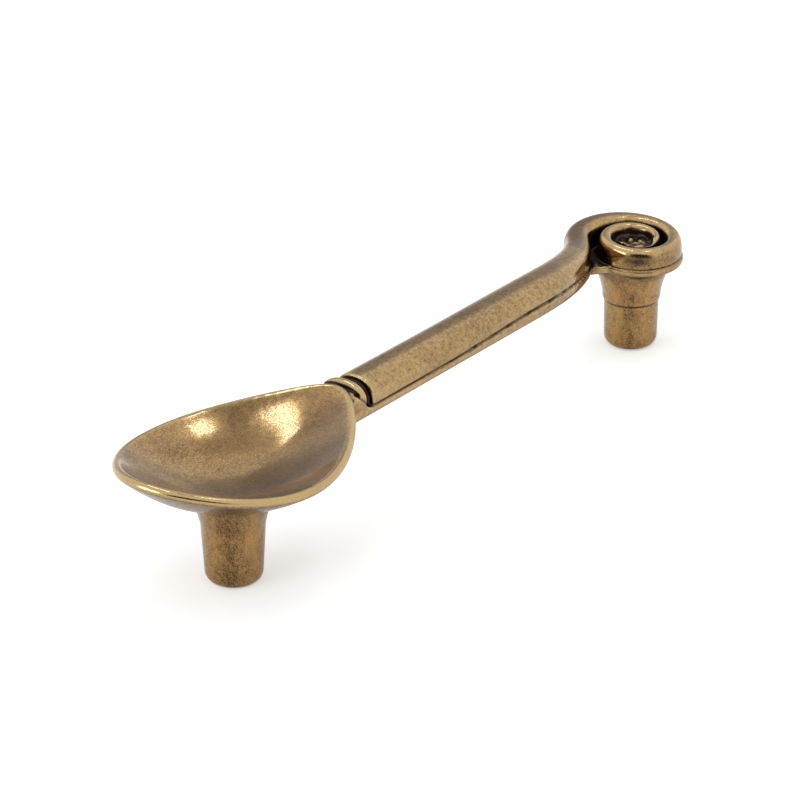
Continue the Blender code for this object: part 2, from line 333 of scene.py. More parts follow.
def neckCut(x):
    # How far the crown stands back at x, from two cuts round a bead
    firstEnd = stem["neckStart"] + stem["bowlSideCut"]
    beadEnd = firstEnd + stem["bead"]
    shoulder = beadEnd + stem["stemSideCut"]
    if x < firstEnd or beadEnd < x < shoulder:
        return stem["cutDepth"]
    if x <= beadEnd:
        off = abs(x - (firstEnd + beadEnd) / 2) / (stem["bead"] / 2)
        return stem["beadRounding"] * off ** 2 - stem["beadRise"]
    return stem["shoulderRounding"] * max(0.0, 1 - (x - shoulder) / stem["shoulderRounding"]) ** 2


def stemHeights(x):
    # Top, crown and keel; the keel's edge climbs at the neck and closes the ends of the cuts
    rise = stem["neckRise"] * min(1.0, (stem["turnStart"] - x) / (stem["turnStart"] - stem["neckStart"]))
    groove = stem["grooveRise"] * ease((x - stem["turnStart"]) / stem["grooveRiseLength"] + 1)
    groove += max(0.0, stem["neckStart"] + stem["climb"] - x)
    return stem["top"] + rise, stem["crown"] + rise - groove, stem["keel"] + groove


def stemForm():
    rings = []
    half = stem["width"] / 2
    sliver = stem["sliver"]
    rounding, ledge = stem["keelRounding"], stem["ledge"]
    for i in range(stem["underRings"]):
        # Under the bowl the keel alone goes on, up to the middle of the bowl's wall
        x = stem["neckStart"] - between(stem["underBowl"], stem["underEnd"], i / (stem["underRings"] - 1))
        wall = bowlPoint(x / (bowl["centre"] + bowl["halfLength"]), math.pi).z
        keel = max(wall - sliver - (stem["top"] - stem["crown"] - stem["keel"]), stem["keelThinnest"])
        rings.append(section(Vector((x, half)), Vector((x, -half)), wall, sliver, keel, rounding, ledge))
    firstEnd = stem["neckStart"] + stem["bowlSideCut"]
    beadEnd = firstEnd + stem["bead"]
    shoulder = beadEnd + stem["stemSideCut"]
    rounded = stem["shoulderRounding"]
    stations = [stem["neckStart"], firstEnd - sliver, firstEnd]
    stations += [between(firstEnd, beadEnd, i / stem["beadRings"]) for i in range(1, stem["beadRings"] + 1)]
    stations += [beadEnd + sliver, shoulder - sliver, shoulder]
    stations += [shoulder + rounded * i / stem["shoulderRings"]
                 for i in range(1, stem["shoulderRings"] + 1)]
    stations += [between(shoulder + rounded, stem["turnStart"], i / stem["stemRings"])
                 for i in range(1, stem["stemRings"])]
    for x in stations:
        left, right = Vector((x, half)), Vector((x, -half))
        top, crown, keel = stemHeights(x)
        rings.append(section(left, right, top, crown, keel, rounding, ledge, neckCut(x)))
    outer, inner = turnEdges()
    for i in range(stem["turnRings"]):
        t = i / stem["turnRings"]
        fall = ease(t)
        rings.append(section(bezier(outer, t), bezier(inner, t), between(stem["top"], scroll["top"], fall),
                             between(stem["crown"] - stem["grooveRise"], scroll["crown"], fall),
                             between(stem["keel"] + stem["grooveRise"], scroll["keel"], fall),
                             between(rounding, scroll["keelRounding"], fall),
                             between(ledge, scroll["ledge"], fall),
                             squareness=between(stem["squareness"], scroll["squareness"], fall)))
    for i in range(scroll["rings"] + 1):
        angle = between(scroll["start"], scroll["end"], i / scroll["rings"])
        drop = scrollDrop(angle)
        curled = ease((angle - scroll["curlStart"]) / scroll["curlEase"])
        rings.append(section(scrollPoint(angle, outerRadius(angle)), scrollPoint(angle, innerRadius(angle)),
                             scroll["top"] - drop, scroll["crown"] - drop, scroll["keel"],
                             scroll["keelRounding"], scroll["ledge"],
                             squareness=between(scroll["squareness"], scroll["curlSquareness"], curled)))
    return skin(rings)


def scrollUnderside():
    # A little above the keel's lower face, so that the web and the far post run into it
    return scroll["top"] - scroll["crown"] - scroll["keel"] + scroll["overlap"]


def webForm():
    # Flat floor of the scroll's groove
    outer, inner = turnEdges()
    outline = [(bezier(outer, t) + bezier(inner, t)) / 2 for t in scroll["webStart"]]
    for i in range(scroll["webSteps"] + 1):
        angle = between(scroll["start"], scroll["webEnd"], i / scroll["webSteps"])
        outline.append(scrollPoint(angle, (outerRadius(angle) + innerRadius(angle)) / 2))
    low = scrollUnderside()
    return skin([[Vector((p.x, p.y, z)) for p in outline] for z in (low, low + scroll["webThick"])])


# Posts

post = {  # mm
    "footRadius": 5.45,
    "footRounding": 2.0,
    "draft": 0.06,  # added to the radius for each mm of height
    "collarHeight": 10.6,
    "collarStep": 0.3,
    "flare": 1.6,
    "flareHeight": 6.5,
    "flarePower": 1.5,
    "holeRadius": 1.65,
    "holeDepth": 12.0,
    "holeChamfer": 0.5,
    "drillPoint": 0.6,  # height of the hole's pointed end, as a share of its radius
    "roundSteps": 12,
    "around": 160,
}


def postRadius(height):
    return post["footRadius"] + post["draft"] * max(height - post["footRounding"], 0)


def postSide(top, collar):
    # From the flare under the bowl or scroll down to the foot and up the screw hole
    base = top - post["flareHeight"]
    steps = post["roundSteps"]
    outline = []
    for i in range(steps + 1):
        height = between(top, base, i / steps)
        outline.append((postRadius(height) + post["flare"] * (1 - i / steps) ** post["flarePower"], height))
    if collar:
        radius = postRadius(post["collarHeight"])
        outline.append((radius, post["collarHeight"]))
        outline.append((radius - post["collarStep"], post["collarHeight"] - post["collarStep"]))
    for i in range(steps + 1):
        angle = math.pi / 2 * i / steps
        radius = post["footRadius"] - post["footRounding"] * (1 - math.cos(angle))
        outline.append((radius, post["footRounding"] * (1 - math.sin(angle))))
    hole, chamfer = post["holeRadius"], post["holeChamfer"]
    outline += [(hole + chamfer, 0), (hole, chamfer), (hole, post["holeDepth"])]
    outline.append((0, post["holeDepth"] + hole * post["drillPoint"]))
    return outline


def postForms():
    bowlTop = bowl["rimHeight"] - bowl["depth"]
    low = scrollUnderside()
    floor = scroll["top"] - scroll["eyeDepth"]
    core = outerRadius(scroll["ridgeStart"]) - scroll["ridgeWidth"]
    nearProfile = [(0, bowlTop)] + postSide(bowlTop, False)
    farProfile = [(0, floor), (core, floor), (core, low)] + postSide(low, True)
    return [turn(nearProfile, 0, post["around"]), turn(farProfile, scroll["spacing"], post["around"])]


# One casting out of all its forms

casting = {
    "grain": 0.23,  # mm, the voxel that the forms are fused with
    "softening": 3,  # rounds
    "softeningFactor": 0.5,
    "triangles": 196000,
}


def meshOf(name, forms):
    points = []
    faces = []
    for formPoints, formFaces in forms:
        start = len(points)
        points += [((p.x + footX["bowl_foot"]) * mm, p.y * mm, p.z * mm) for p in formPoints]
        faces += [tuple(start + i for i in face) for face in formFaces]
    mesh = bpy.data.meshes.new(name)
    mesh.from_pydata(points, [], faces)
    mesh.update()
    return mesh


def settled(obj, name):
    # The object's mesh with its modifiers applied, on a new object in its place
    bpy.context.view_layer.update()
    done = obj.evaluated_get(bpy.context.evaluated_depsgraph_get())
    mesh = bpy.data.meshes.new_from_object(done)
    mesh.name = name
    bpy.data.objects.remove(obj)
    after = bpy.data.objects.new(name, mesh)
    bpy.context.scene.collection.objects.link(after)
    return after


def fuseForms():
    # The forms run into one skin, softened a little as cast metal is
    forms = [stemForm(), bowlForm(), webForm()] + postForms()
    rough = bpy.data.objects.new("castingForms", meshOf("castingForms", forms))
    bpy.context.scene.collection.objects.link(rough)
    bm = bmesh.new()
    bm.from_mesh(rough.data)
    bmesh.ops.recalc_face_normals(bm, faces=bm.faces)
    bm.to_mesh(rough.data)
    bm.free()
    fuse = rough.modifiers.new("fuse", "REMESH")
    fuse.mode = "VOXEL"
    fuse.voxel_size = casting["grain"] * mm
    soften = rough.modifiers.new("soften", "SMOOTH")
    soften.factor = casting["softeningFactor"]
    soften.iterations = casting["softening"]
    print("forms made, to be fused")
    return settled(rough, "fusedCasting")


def thinOut(dense):
    # Fewer triangles where the skin is plain
    dense.data.calc_loop_triangles()
    thin = dense.modifiers.new("thin", "DECIMATE")
    thin.ratio = casting["triangles"] / len(dense.data.loop_triangles)
    return settled(dense, "spoonPullCasting")


# Wear and painted shade, kept as values on the casting's points: how far each stands out from the smoothed
# skin, in mm, which is what a buffing wheel finds; how sheltered it is, where the dark bath stays, plus
# painted shade and reflection;
# how well the wheel gets at it; stain, and a painted dark reflection down one side of each post; and where
# it is darker, with a painted dark reflection inside the bowl

worn = {  # mm
    "rounds": 60,  # rounds that smooth the skin before the two are compared
    "smoothing": 0.6,
    "rays": 24,
    "reach": 3.0,
    "rayLift": 0.05,
    "blurRounds": 3,
    "buffedFrom": 14.0,
    "buffedTo": 19.0,
    "buffedLevel": 0.75,  # on an upright face; 1 on top
    "buffedLeast": 0.2,
}
postReflectionAndCollar = {  # mm, and degrees from +Y towards +X
    "bearing": -124.0,  # of the dark run on each post, a painted dark reflection
    "width": 17.0,
    "top": 17.0,
    "fade": 4.0,
    "radius": 8.0,
    "paintedHighlight": 0.6,  # painted highlights: paler strips on both sides of the run
    "paintedHighlightAt": 42.0,
    "collarLine": 10.3,
    "collarThick": 0.4,
    "collarDark": 0.16,
}
neckDarkening = {
    "at": 30.0,  # mm from the near post's axis
    "width": 3.2,
    "top": 25.0,
    "dark": 0.09,
    "stain": 1.3,
    "unbuffed": 0.9,
}
scrollBandAndReflection = {  # mm from the far post's axis, and degrees as above
    "bandFrom": 8.5,
    "bandEdge": 1.5,
    "bandBehind": 15.0,
    "bandUnbuffed": 0.5,
    "bandDull": 0.8,
    # a painted dark reflection on the front of the scroll's outer band
    "frontBearing": -132.0,
    "frontWidth": 28.0,
    "frontHeight": 21.7,
    "frontThick": 1.4,
    "frontRadii": (6.0, 12.0),
    "frontReflectionDark": 0.16,
    "frontReflectionDimsRub": 0.8,
}
eyeDarkAndLit = {  # mm
    "radius": 4.6,
    "top": 24.1,
    "edge": 0.5,
    "dark": 0.15,
    "lumpSize": 1.3,
    "lumpHeight": 0.5,
    "litFrom": 0.2,
    "litGain": 3.0,
}
# The painted dark reflection on the bowl's inside
bowlShading = {
    "reach": 0.88,  # square of the way to the rim where the darker inside ends
    "fullness": 1.2,
    "edge": 8.0,  # how sharply it ends
    "wallUp": 0.2,
    "endShade": 0.5,
    "frontGain": 2.0,
}
# Painted shade on the faces that look down
underShade = {
    "lowest": 16.0,  # mm above the feet
    "from": 0.3,
    "gain": 3.0,
    "dark": 0.1,
    "stain": 0.8,
}


def meshTables(mesh):
    count = len(mesh.vertices)
    points = np.empty(count * 3)
    mesh.vertices.foreach_get("co", points)
    normals = np.empty(count * 3)
    mesh.vertices.foreach_get("normal", normals)
    edges = np.empty(len(mesh.edges) * 2, dtype=np.int64)
    mesh.edges.foreach_get("vertices", edges)
    return points.reshape(-1, 3) / mm, normals.reshape(-1, 3), edges.reshape(-1, 2)


def smoothed(values, edges, rounds):
    count = len(values)
    neighbours = np.bincount(edges.ravel(), minlength=count)
    for step in range(rounds):
        for axis in range(values.shape[1]):
            total = (np.bincount(edges[:, 0], values[edges[:, 1], axis], count)
                     + np.bincount(edges[:, 1], values[edges[:, 0], axis], count))
            values[:, axis] += worn["smoothing"] * (total / neighbours - values[:, axis])
    return values


def bell(distance, width):
    return np.exp(-(distance / width) ** 2)


def fromScrollAxis(points):
    return np.hypot(points[:, 0] - footX["scroll_foot"], points[:, 1])


def offBearing(points, footAt, bearing):
    # Degrees round a post's axis, from -180 to 180, between each point and a bearing
    return (np.degrees(np.arctan2(points[:, 0] - footAt, points[:, 1])) - bearing + 180) % 360 - 180


def inEye(points):
    # The inside of the scroll's eye, where no wheel reaches
    across = np.clip((eyeDarkAndLit["radius"] - fromScrollAxis(points)) / eyeDarkAndLit["edge"], 0, 1)
    return across * np.clip((eyeDarkAndLit["top"] - points[:, 2]) / eyeDarkAndLit["edge"], 0, 1)


def eyeLumps(points, share):
    # Uneven cast floor, as a height from -1 to 1 at each point in the eye
    heights = np.zeros(len(points))
    for i in np.flatnonzero(share):
        heights[i] = noise.noise(Vector(points[i]) / eyeDarkAndLit["lumpSize"])
    return heights


def roughenEye(mesh):
    points, normals, edges = meshTables(mesh)
    share = inEye(points) * np.clip(normals[:, 2], 0, 1)
    points[:, 2] += eyeLumps(points, share) * share * eyeDarkAndLit["lumpHeight"]
    mesh.vertices.foreach_set("co", (points * mm).ravel())
    mesh.update()
    print("eye's floor roughened")


def scrollFrontReflection(points):
    # A painted dark reflection: the patch on the front of the scroll's outer band
    look = scrollBandAndReflection
    inner, outer = look["frontRadii"]
    fromAxis = fromScrollAxis(points)
    patch = bell(offBearing(points, footX["scroll_foot"], look["frontBearing"]), look["frontWidth"])
    patch *= bell(points[:, 2] - look["frontHeight"], look["frontThick"])
    return patch * (fromAxis > inner) * (fromAxis < outer)


def scrollBand(points):
    # The scroll's outer turn, with the bend that leads to it
    band = np.clip((fromScrollAxis(points) - scrollBandAndReflection["bandFrom"]) / scrollBandAndReflection["bandEdge"], 0, 1)
    return band * (points[:, 0] > footX["scroll_foot"] - scrollBandAndReflection["bandBehind"])


def neckPatch(points):
    # The keel between the bowl and the bead
    patch = bell(points[:, 0] - footX["bowl_foot"] - neckDarkening["at"], neckDarkening["width"])
    return patch * np.clip(neckDarkening["top"] - points[:, 2], 0, 1)


def underside(points, normals):
    # Faces of the bowl, stem and scroll that look down, darkened with painted shade
    facing = np.clip(-underShade["gain"] * normals[:, 2] - underShade["from"], 0, 1)
    return facing * (points[:, 2] > underShade["lowest"])


def bowlShade(points, normals):
    # Painted dark reflection inside the bowl: the front wall most, its ends half and its back wall not at
    # all, short of the rim
    along = (points[:, 0] - footX["bowl_foot"] - bowl["centre"]) / bowl["halfLength"]
    side = points[:, 1] / bowl["halfWidth"]
    reach = along ** 2 + side ** 2 / bowlShading["fullness"]
    inside = np.clip((bowlShading["reach"] - reach) * bowlShading["edge"], 0, 1)
    inside *= normals[:, 2] > bowlShading["wallUp"]
    return inside * np.clip(bowlShading["endShade"] + bowlShading["frontGain"] * normals[:, 1], 0, 1)


def darkCollar(points):
    # The line under the far post's collar
    line = bell(points[:, 2] - postReflectionAndCollar["collarLine"], postReflectionAndCollar["collarThick"])
    return line * (fromScrollAxis(points) < postReflectionAndCollar["radius"])


def postPaintedReflections(points):
    # A painted dark reflection down one side of each post, with a painted highlight as a paler strip on both
    # sides of it
    reflectionRun = np.zeros(len(points))
    for footAt in footX.values():
        off = offBearing(points, footAt, postReflectionAndCollar["bearing"])
        fromAxis = np.hypot(points[:, 0] - footAt, points[:, 1])
        below = np.clip((postReflectionAndCollar["top"] - points[:, 2]) / postReflectionAndCollar["fade"], 0, 1)
        onPost = (fromAxis < postReflectionAndCollar["radius"]) * below
        reflectionRun += onPost * bell(off, postReflectionAndCollar["width"])
        reflectionRun -= onPost * postReflectionAndCollar["paintedHighlight"] * bell(np.abs(off) - postReflectionAndCollar["paintedHighlightAt"], postReflectionAndCollar["width"])
    return reflectionRun


def keepLayer(mesh, name, values):
    layer = mesh.attributes.new(name, "FLOAT", "POINT")
    layer.data.foreach_set("value", values.astype(np.float32))
    print("wear map", name, "from", round(float(values.min()), 2), "to", round(float(values.max()), 2))


def measureStanding(mesh):
    points, normals, edges = meshTables(mesh)
    offset = ((points - smoothed(points.copy(), edges, worn["rounds"])) * normals).sum(axis=1)
    keepLayer(mesh, "standsOut", offset)


def measureShelter(mesh):
    # Rays spread over each point's outer half: the share that meets the casting, near hits most
    points, normals, edges = meshTables(mesh)
    corners = [tuple(face.vertices) for face in mesh.polygons]
    tree = BVHTree.FromPolygons([tuple(p) for p in points], corners)
    rays, reach = worn["rays"], worn["reach"]
    turns = (np.arange(rays) * (math.sqrt(5) - 1) / 2 % 1) * 2 * math.pi  # golden angle
    tilt = np.sqrt((np.arange(rays) + 0.5) / rays)
    fan = np.stack([np.cos(turns) * tilt, np.sin(turns) * tilt, np.sqrt(1 - tilt ** 2)], axis=1)
    lean = np.where(np.abs(normals[:, :1]) < 0.8, [[1.0, 0.0, 0.0]], [[0.0, 1.0, 0.0]])
    across = np.cross(normals, lean)
    across /= np.linalg.norm(across, axis=1)[:, None]
    along = np.cross(normals, across)
    starts = points + normals * worn["rayLift"]
    shelterAndPaintedShade = np.zeros(len(points))
    for u, v, w in fan:
        heads = across * u + along * v + normals * w
        for i, (start, head) in enumerate(zip(starts.tolist(), heads.tolist())):
            distance = tree.ray_cast(start, head, reach)[3]
            if distance is not None:
                shelterAndPaintedShade[i] += 1 - distance / reach
    shelterAndPaintedShade = smoothed((shelterAndPaintedShade / rays)[:, None], edges, worn["blurRounds"])[:, 0]
    share = inEye(points)
    # Painted light: the eye's lumps that face up are kept lighter than its dark floor
    lit = np.clip(eyeLumps(points, share) * eyeDarkAndLit["litGain"] + eyeDarkAndLit["litFrom"], 0, 1)
    lit *= np.clip(normals[:, 2], 0, 1)
    shelterAndPaintedShade = (shelterAndPaintedShade + eyeDarkAndLit["dark"] * share) * (1 - share * lit)
    # Painted light and shade laid onto the map as well: a painted dark reflection on the scroll's front and
    # painted shade on the faces that look down, beside the collar line and the neck
    shelterAndPaintedShade += postReflectionAndCollar["collarDark"] * darkCollar(points)
    shelterAndPaintedShade += scrollBandAndReflection["frontReflectionDark"] * scrollFrontReflection(points) + neckDarkening["dark"] * neckPatch(points)
    shelterAndPaintedShade += underShade["dark"] * underside(points, normals)
    keepLayer(mesh, "shelterAndPaintedShade", shelterAndPaintedShade)


def measureReach(mesh):
    # Where the wheel got to, and the darker marks: at the neck, a painted dark reflection on the scroll's
    # front, down each post and inside the bowl, a duller scroll band, and painted shade on the faces below
    points, normals, edges = meshTables(mesh)
    buffed = np.clip((points[:, 2] - worn["buffedFrom"]) / (worn["buffedTo"] - worn["buffedFrom"]), 0, 1)
    buffed *= np.clip(worn["buffedLevel"] + normals[:, 2], worn["buffedLeast"], 1)
    neck, frontReflection, band = neckPatch(points), scrollFrontReflection(points), scrollBand(points)
    buffed *= (1 - neckDarkening["unbuffed"] * neck) * (1 - scrollBandAndReflection["frontReflectionDimsRub"] * frontReflection)
    buffed *= 1 - scrollBandAndReflection["bandUnbuffed"] * band
    stainedAndShaded = postPaintedReflections(points) + neckDarkening["stain"] * neck + frontReflection
    stainedAndShaded += underShade["stain"] * underside(points, normals)
    keepLayer(mesh, "buffed", buffed)
    keepLayer(mesh, "stainAndPaintedShade", stainedAndShaded)
    keepLayer(mesh, "paintedShadeAndDull", np.maximum(bowlShade(points, normals), scrollBandAndReflection["bandDull"] * band))


pull = fuseForms()
roughenEye(pull.data)
measureStanding(pull.data)
pull = thinOut(pull)
measureShelter(pull.data)
measureReach(pull.data)
pull.data.shade_smooth()
pull.data.calc_loop_triangles()
print("casting made:", len(pull.data.loop_triangles), "triangles")

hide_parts("spoon_pull")
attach(pull, "root")


# Finish

def linear(hexColour):
    # sRGB hex to the linear values that shaders take
    values = [int(hexColour[i:i + 2], 16) / 255 for i in (0, 2, 4)]
    return [v / 12.92 if v <= 0.04045 else ((v + 0.055) / 1.055) ** 2.4 for v in values] + [1.0]


def addNode(tree, kind, inputs=None, **settings):
    # One node with its settings, and each input set to a value or linked from a socket
    node = tree.nodes.new("ShaderNode" + kind)
    for name, value in settings.items():
        setattr(node, name, value)
    for name, value in (inputs or {}).items():
        if isinstance(value, bpy.types.NodeSocket):
            tree.links.new(value, node.inputs[name])
        else:
            node.inputs[name].default_value = value
    return node


# Antique brass: brass plate on a die casting, darkened in a bath, buffed back by hand and lacquered.
# Edges come up pale and smooth, broad faces stay brown and speckled, hollows stay almost black, and
# the posts, where the wheel hardly reaches, keep a warm gold with runs of stain and a painted dark
# reflection down one side. Sizes are in mm.
antiqueBrass = {
    "rubbed": "d8ba80",
    "satin": "cda76e",
    "satinDark": "6c5031",
    "postGold": "c39557",
    # oxide also paints the shade and dark reflections of the shelter map; stain also paints the dark
    # reflections down the posts and on the scroll's front, and the shade on faces that look down
    "oxideAndShade": "2a190c",
    "stain": "3d260f",
    "speckle": 0.28,  # grains of the dark speckle, drawn a little coarse so that they show
    "mottle": 0.9,
    "cloud": 8.0,
    "speckleRange": (0.43, 0.57),  # narrow, for crisp specks
    "patchRange": (0.35, 0.65),
    "mottleShare": 0.3,
    "cloudShare": 0.3,
    "shadeAndDulling": 0.4,
    "runLength": 2.6,  # streaks, as a multiple of their width
    "runDetail": 5.0,
    "runRoughness": 0.75,
    "leastDark": -0.5,  # of the stain map, which is 1 in the middle of a post's painted dark reflection
    "clearAt": 0.66,
    "darkAt": 0.43,
    "stainSoftness": 0.15,
    "stainMost": 0.9,
    "gritRange": (0.6, 0.4),
    "gritLeast": 0.45,
    "rubFrom": 0.02,
    "rubTo": 0.26,
    "rubMost": 0.75,
    "rubJitter": 0.05,
    "jitterRange": (0.3, 0.7),
    "hollowFrom": -0.03,
    "hollowTo": -0.10,
    "shelterFrom": 0.05,
    "shelterTo": 0.20,
    "patchyRange": (0.38, 0.55),
    "patchyLeast": 0.45,
    "rubbedRoughness": 0.15,
    "satinRoughness": 0.16,
    "oxideAndShadeRoughness": 0.5,
    "specksRougher": 0.08,
    "grainsSmoother": -0.04,
    "lacquer": 0.5,
    "lacquerRoughness": 0.06,
    "waveSize": 5.0,  # hand-finished unevenness
    "waveHeight": 0.05,
    "grainSize": 0.45,
    "grainHeight": 0.004,
}


def makeBrass():
    look = antiqueBrass
    material = bpy.data.materials.new("antiqueBrassPlate")
    material.use_nodes = True
    tree = material.node_tree
    shader = tree.nodes["Principled BSDF"]
    shader.inputs["Metallic"].default_value = 1.0
    shader.inputs["Coat Weight"].default_value = look["lacquer"]
    shader.inputs["Coat Roughness"].default_value = look["lacquerRoughness"]
    place = addNode(tree, "TexCoord").outputs["Object"]
    wear = {}
    for name in ("standsOut", "shelterAndPaintedShade", "buffed", "stainAndPaintedShade", "paintedShadeAndDull"):
        wear[name] = addNode(tree, "Attribute", attribute_name=name).outputs["Fac"]
    patterns = []
    for name in ("speckle", "mottle", "cloud"):
        fineness = 1 / (look[name] * mm)
        pattern = addNode(tree, "TexNoise", {"Vector": place, "Scale": fineness, "Detail": 2.0})
        patterns.append(pattern.outputs["Fac"])
    speckle, mottle, cloud = patterns

    # Broad faces: fine dark speckle over two browns that drift in patches
    low, high = look["speckleRange"]
    tone = addNode(tree, "MapRange", {"Value": speckle, "From Min": low, "From Max": high}).outputs[0]
    low, high = look["patchRange"]
    for part, share in ((mottle, look["mottleShare"]), (cloud, look["cloudShare"])):
        part = addNode(tree, "MapRange", {"Value": part, "From Min": low, "From Max": high}).outputs[0]
        tone = addNode(tree, "Mix", {0: share, 2: tone, 3: part}).outputs[0]
    # Darker tone: a painted dark reflection on the bowl's front wall, and a duller scroll band
    kept = addNode(tree, "MapRange", {"Value": wear["paintedShadeAndDull"], "To Min": 1.0, "To Max": look["shadeAndDulling"]})
    tone = addNode(tree, "Math", {0: tone, 1: kept.outputs[0]}, operation="MULTIPLY").outputs[0]

    # Posts: warmer gold, and stain in streaks, most of it a painted dark reflection down one side; the same
    # layer paints the dark reflection on the scroll's front and shade on faces that look down
    missed = addNode(tree, "Math", {0: 1.0, 1: wear["buffed"]},
                     operation="SUBTRACT", use_clamp=True).outputs[0]
    warm = addNode(tree, "Math", {0: missed, 1: tone}, operation="MULTIPLY").outputs[0]
    drawnOut = addNode(tree, "VectorMath", {0: place, 1: (1, 1, 1 / look["runLength"])},
                       operation="MULTIPLY").outputs["Vector"]
    runs = addNode(tree, "TexNoise", {"Vector": drawnOut, "Scale": 1 / (look["mottle"] * mm),
                                      "Detail": look["runDetail"],
                                      "Roughness": look["runRoughness"]}).outputs["Fac"]
    darkLevel = addNode(tree, "MapRange", {"Value": wear["stainAndPaintedShade"], "From Min": look["leastDark"],
                                     "To Min": look["clearAt"], "To Max": look["darkAt"]}).outputs[0]
    stain = addNode(tree, "Math", {0: runs, 1: darkLevel}, operation="SUBTRACT").outputs[0]
    stain = addNode(tree, "MapRange", {"Value": stain, "From Min": -look["stainSoftness"],
                                       "From Max": look["stainSoftness"],
                                       "To Max": look["stainMost"]}).outputs[0]
    low, high = look["gritRange"]
    grit = addNode(tree, "MapRange", {"Value": speckle, "From Min": low, "From Max": high,
                                      "To Min": look["gritLeast"]}).outputs[0]
    for share in (grit, missed):
        stain = addNode(tree, "Math", {0: stain, 1: share}, operation="MULTIPLY").outputs[0]

    # Edges rubbed back to pale brass
    low, high = look["jitterRange"]
    jitter = addNode(tree, "MapRange", {"Value": mottle, "From Min": low, "From Max": high,
                                        "To Min": -look["rubJitter"],
                                        "To Max": look["rubJitter"]}).outputs[0]
    height = addNode(tree, "Math", {0: wear["standsOut"], 1: jitter}, operation="ADD").outputs[0]
    rub = addNode(tree, "MapRange", {"Value": height, "From Min": look["rubFrom"], "From Max": look["rubTo"],
                                     "To Max": look["rubMost"]}).outputs[0]
    rub = addNode(tree, "Math", {0: rub, 1: wear["buffed"]}, operation="MULTIPLY").outputs[0]

    # Hollows and sheltered corners left dark, together with the painted shade and dark reflections that the
    # shelter map carries
    hollow = addNode(tree, "MapRange", {"Value": wear["standsOut"], "From Min": look["hollowFrom"],
                                        "From Max": look["hollowTo"]},
                     interpolation_type="SMOOTHSTEP").outputs[0]
    deep = addNode(tree, "MapRange", {"Value": wear["shelterAndPaintedShade"], "From Min": look["shelterFrom"],
                                      "From Max": look["shelterTo"]},
                   interpolation_type="SMOOTHSTEP").outputs[0]
    low, high = look["patchyRange"]
    patchy = addNode(tree, "MapRange", {"Value": cloud, "From Min": low, "From Max": high,
                                        "To Min": look["patchyLeast"]}).outputs[0]
    hollow = addNode(tree, "Math", {0: hollow, 1: patchy}, operation="MULTIPLY").outputs[0]
    dark = addNode(tree, "Math", {0: hollow, 1: deep}, operation="MAXIMUM").outputs[0]

    # The colours, each laid over the one before
    colour = linear(look["satinDark"])
    layers = {"satin": tone, "postGold": warm, "stain": stain, "rubbed": rub, "oxideAndShade": dark}
    for name, share in layers.items():
        colour = addNode(tree, "Mix", {0: share, 6: colour, 7: linear(look[name])},
                         data_type="RGBA").outputs[2]
    tree.links.new(colour, shader.inputs["Base Color"])

    # Rubbed brass is glossy, oxide is dull, and dark specks are a little rougher than the grains between
    rough = addNode(tree, "Mix", {0: rub, 2: look["satinRoughness"], 3: look["rubbedRoughness"]}).outputs[0]
    rough = addNode(tree, "Mix", {0: dark, 2: rough, 3: look["oxideAndShadeRoughness"]}).outputs[0]
    high, low = look["gritRange"]
    uneven = addNode(tree, "MapRange", {"Value": speckle, "From Min": low, "From Max": high,
                                        "To Min": look["specksRougher"],
                                        "To Max": look["grainsSmoother"]}).outputs[0]
    rough = addNode(tree, "Math", {0: rough, 1: uneven}, operation="ADD").outputs[0]
    tree.links.new(rough, shader.inputs["Roughness"])

    # Slow waves from hand buffing, with the casting's grain over them
    waves = addNode(tree, "TexNoise", {"Vector": place, "Scale": 1 / (look["waveSize"] * mm),
                                       "Detail": 1.0}).outputs["Fac"]
    waved = addNode(tree, "Bump", {"Height": waves, "Distance": look["waveHeight"] * mm}).outputs["Normal"]
    grain = addNode(tree, "TexNoise", {"Vector": place, "Scale": 1 / (look["grainSize"] * mm),
                                       "Detail": 2.0}).outputs["Fac"]
    bumped = addNode(tree, "Bump", {"Height": grain, "Distance": look["grainHeight"] * mm,
                                    "Normal": waved}).outputs["Normal"]
    tree.links.new(bumped, shader.inputs["Normal"])
    return material


pull.data.materials.clear()
pull.data.materials.append(makeBrass())
print("finish made")


# Camera

camera = {
    "aim": (-4.03, 2.30, 15.0),  # mm
    "distance": 767.2,  # mm
    "azimuth": 52.417,
    "elevation": 26.0,
    "roll": -0.178,
    "lens": 180.0,
    "sensor": 36.0,
    "nearest": 0.05,  # m
    "farthest": 20.0,
}


def placeCamera():
    # The bearing runs from straight along +Y towards +X; the roll lifts the picture's right side
    bearing, down = math.radians(camera["azimuth"]), math.radians(camera["elevation"])
    level = math.cos(down)
    ahead = Vector((math.sin(bearing) * level, math.cos(bearing) * level, -math.sin(down)))
    data = bpy.data.cameras.new("photoCamera")
    data.lens = camera["lens"]
    data.sensor_width = camera["sensor"]
    data.clip_start = camera["nearest"]
    data.clip_end = camera["farthest"]
    view = bpy.data.objects.new("photoCamera", data)
    bpy.context.scene.collection.objects.link(view)
    view.rotation_mode = "QUATERNION"
    facing = ahead.to_track_quat("-Z", "Y")
    roll = Quaternion((0, 0, 1), math.radians(camera["roll"]))
    view.rotation_quaternion = facing @ roll
    view.location = Vector(camera["aim"]) * mm - ahead * camera["distance"] * mm
    bpy.context.scene.camera = view


placeCamera()
print("camera placed")


# Floor, daylight and softboxes

